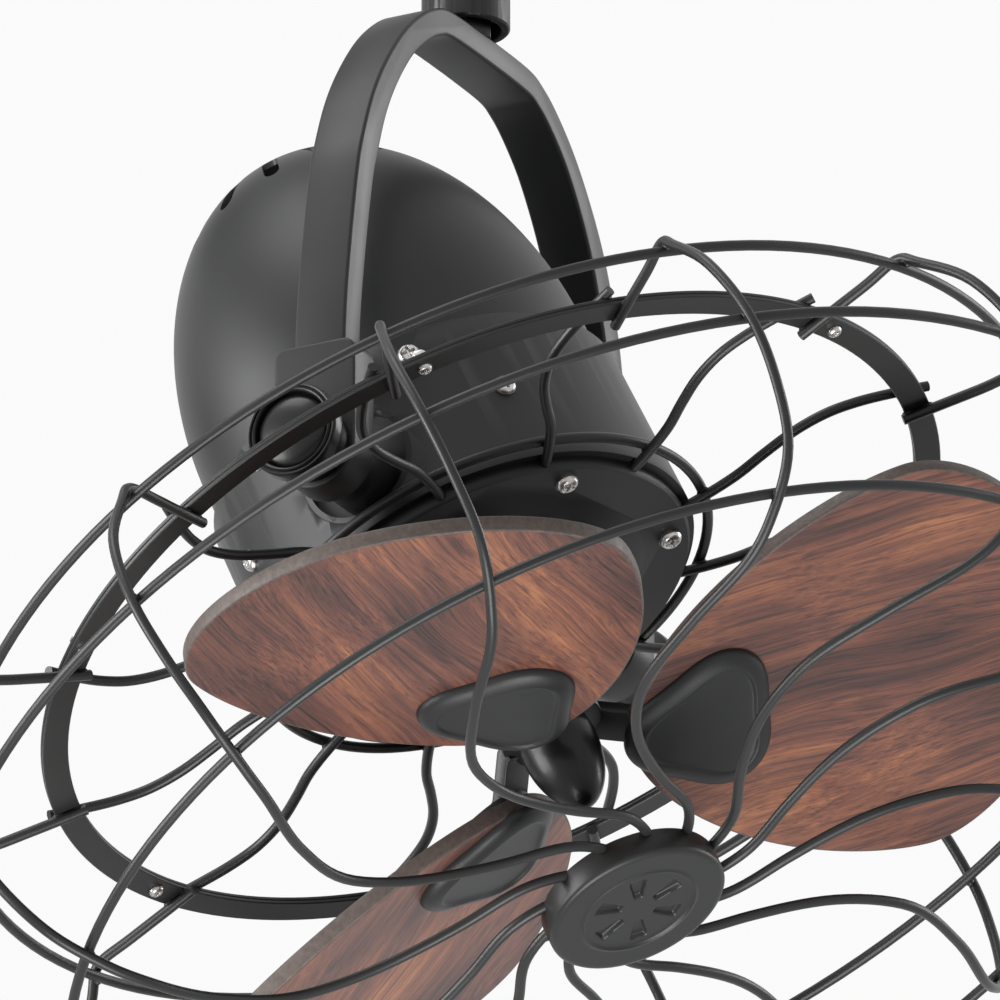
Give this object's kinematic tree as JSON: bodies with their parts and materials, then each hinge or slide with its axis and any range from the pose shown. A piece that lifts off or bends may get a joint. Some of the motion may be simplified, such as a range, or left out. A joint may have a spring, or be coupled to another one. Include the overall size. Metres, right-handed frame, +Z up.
{
  "type": "twin head ceiling fan",
  "caption": "Ceiling fan with caged fan heads on bent arms that turn under a canopy; each head swivels, tilts in a yoke and spins wooden blades.",
  "frame": {"origin": "centre of the two ceiling screw slots, on the ceiling plane", "axes": "+Z up into the ceiling along the downrod, +X along the arm that carries head A, Y across the arms"},
  "size_m": [1.0642, 0.4686, 0.7947],
  "materials": {
    "black_coat": "satin powder coat",
    "guard_coat": "satin powder coat on round wire and flat band",
    "gloss_black": "smooth semi gloss black",
    "zinc_steel": "zinc plated steel",
    "black_oxide": "black oxide",
    "bearing_steel": "ground steel",
    "motor": "cast motor body, hidden",
    "walnut": "dark walnut veneer on laminated wood, satin lacquer"
  },
  "bodies": {
    "mount": {"bracket": "zinc_steel", "canopy": "black_coat", "canopy_screws": "zinc_steel", "downrod": "black_coat", "axle": "zinc_steel"},
    "carousel": {"hub_upper": "black_coat", "hub_lower": "black_coat", "hub_bearings": "bearing_steel", "arm_a": "black_coat", "arm_b": "black_coat", "socket_a": "black_coat", "socket_b": "black_coat", "socket_screws": "black_oxide"},
    "yoke_a": {"yoke_a": "black_coat", "stud_a": "black_oxide", "pivot_bolts_a": "zinc_steel", "pivot_caps_a": "gloss_black"},
    "head_a": {"dome_a": "black_coat", "shroud_a": "black_coat", "front_plate_a": "black_coat", "housing_screws_a": "zinc_steel", "motor_core_a": "motor", "rear_spokes_a": "guard_coat", "rear_rings_a": "guard_coat", "front_wires_a": "guard_coat", "front_rings_a": "guard_coat", "band_screws_a": "zinc_steel", "medallion_a": "guard_coat"},
    "rotor_a": {"rotor_core_a": "bearing_steel", "blade_bracket_a": "black_coat", "spinner_a": "gloss_black", "blade_1_a": "walnut", "blade_2_a": "walnut", "blade_3_a": "walnut", "blade_caps_a": "black_coat", "blade_screws_a": "zinc_steel"},
    "yoke_b": {"yoke_b": "black_coat", "stud_b": "black_oxide", "pivot_bolts_b": "zinc_steel", "pivot_caps_b": "gloss_black"},
    "head_b": {"dome_b": "black_coat", "shroud_b": "black_coat", "front_plate_b": "black_coat", "housing_screws_b": "zinc_steel", "motor_core_b": "motor", "rear_spokes_b": "guard_coat", "rear_rings_b": "guard_coat", "front_wires_b": "guard_coat", "front_rings_b": "guard_coat", "band_screws_b": "zinc_steel", "medallion_b": "guard_coat"},
    "rotor_b": {"rotor_core_b": "bearing_steel", "blade_bracket_b": "black_coat", "spinner_b": "gloss_black", "blade_1_b": "walnut", "blade_2_b": "walnut", "blade_3_b": "walnut", "blade_caps_b": "black_coat", "blade_screws_b": "zinc_steel"}
  },
  "joints": [
    {"name": "orbit", "type": "hinge", "parent": "mount", "child": "carousel", "pos_m": [0, 0, -0.262], "axis": [0, 0, 1], "continuous": true},
    {"name": "swivel_a", "type": "hinge", "parent": "carousel", "child": "yoke_a", "pos_m": [0.275, 0, -0.374], "axis": [0, 0, 1], "range_deg": [-90, 90]},
    {"name": "tilt_a", "type": "hinge", "parent": "yoke_a", "child": "head_a", "pos_m": [0.275, 0, -0.574], "axis": [0, -1, 0], "range_deg": [-70, 60]},
    {"name": "spin_a", "type": "hinge", "parent": "head_a", "child": "rotor_a", "pos_m": [0.275, 0, -0.574], "axis": [0.421, 0, -0.907], "continuous": true},
    {"name": "swivel_b", "type": "hinge", "parent": "carousel", "child": "yoke_b", "pos_m": [-0.275, 0, -0.374], "axis": [0, 0, 1], "range_deg": [-90, 90]},
    {"name": "tilt_b", "type": "hinge", "parent": "yoke_b", "child": "head_b", "pos_m": [-0.275, 0, -0.574], "axis": [0, 1, 0], "range_deg": [-70, 60]},
    {"name": "spin_b", "type": "hinge", "parent": "head_b", "child": "rotor_b", "pos_m": [-0.275, 0, -0.574], "axis": [-0.421, 0, -0.907], "continuous": true}
  ]
}
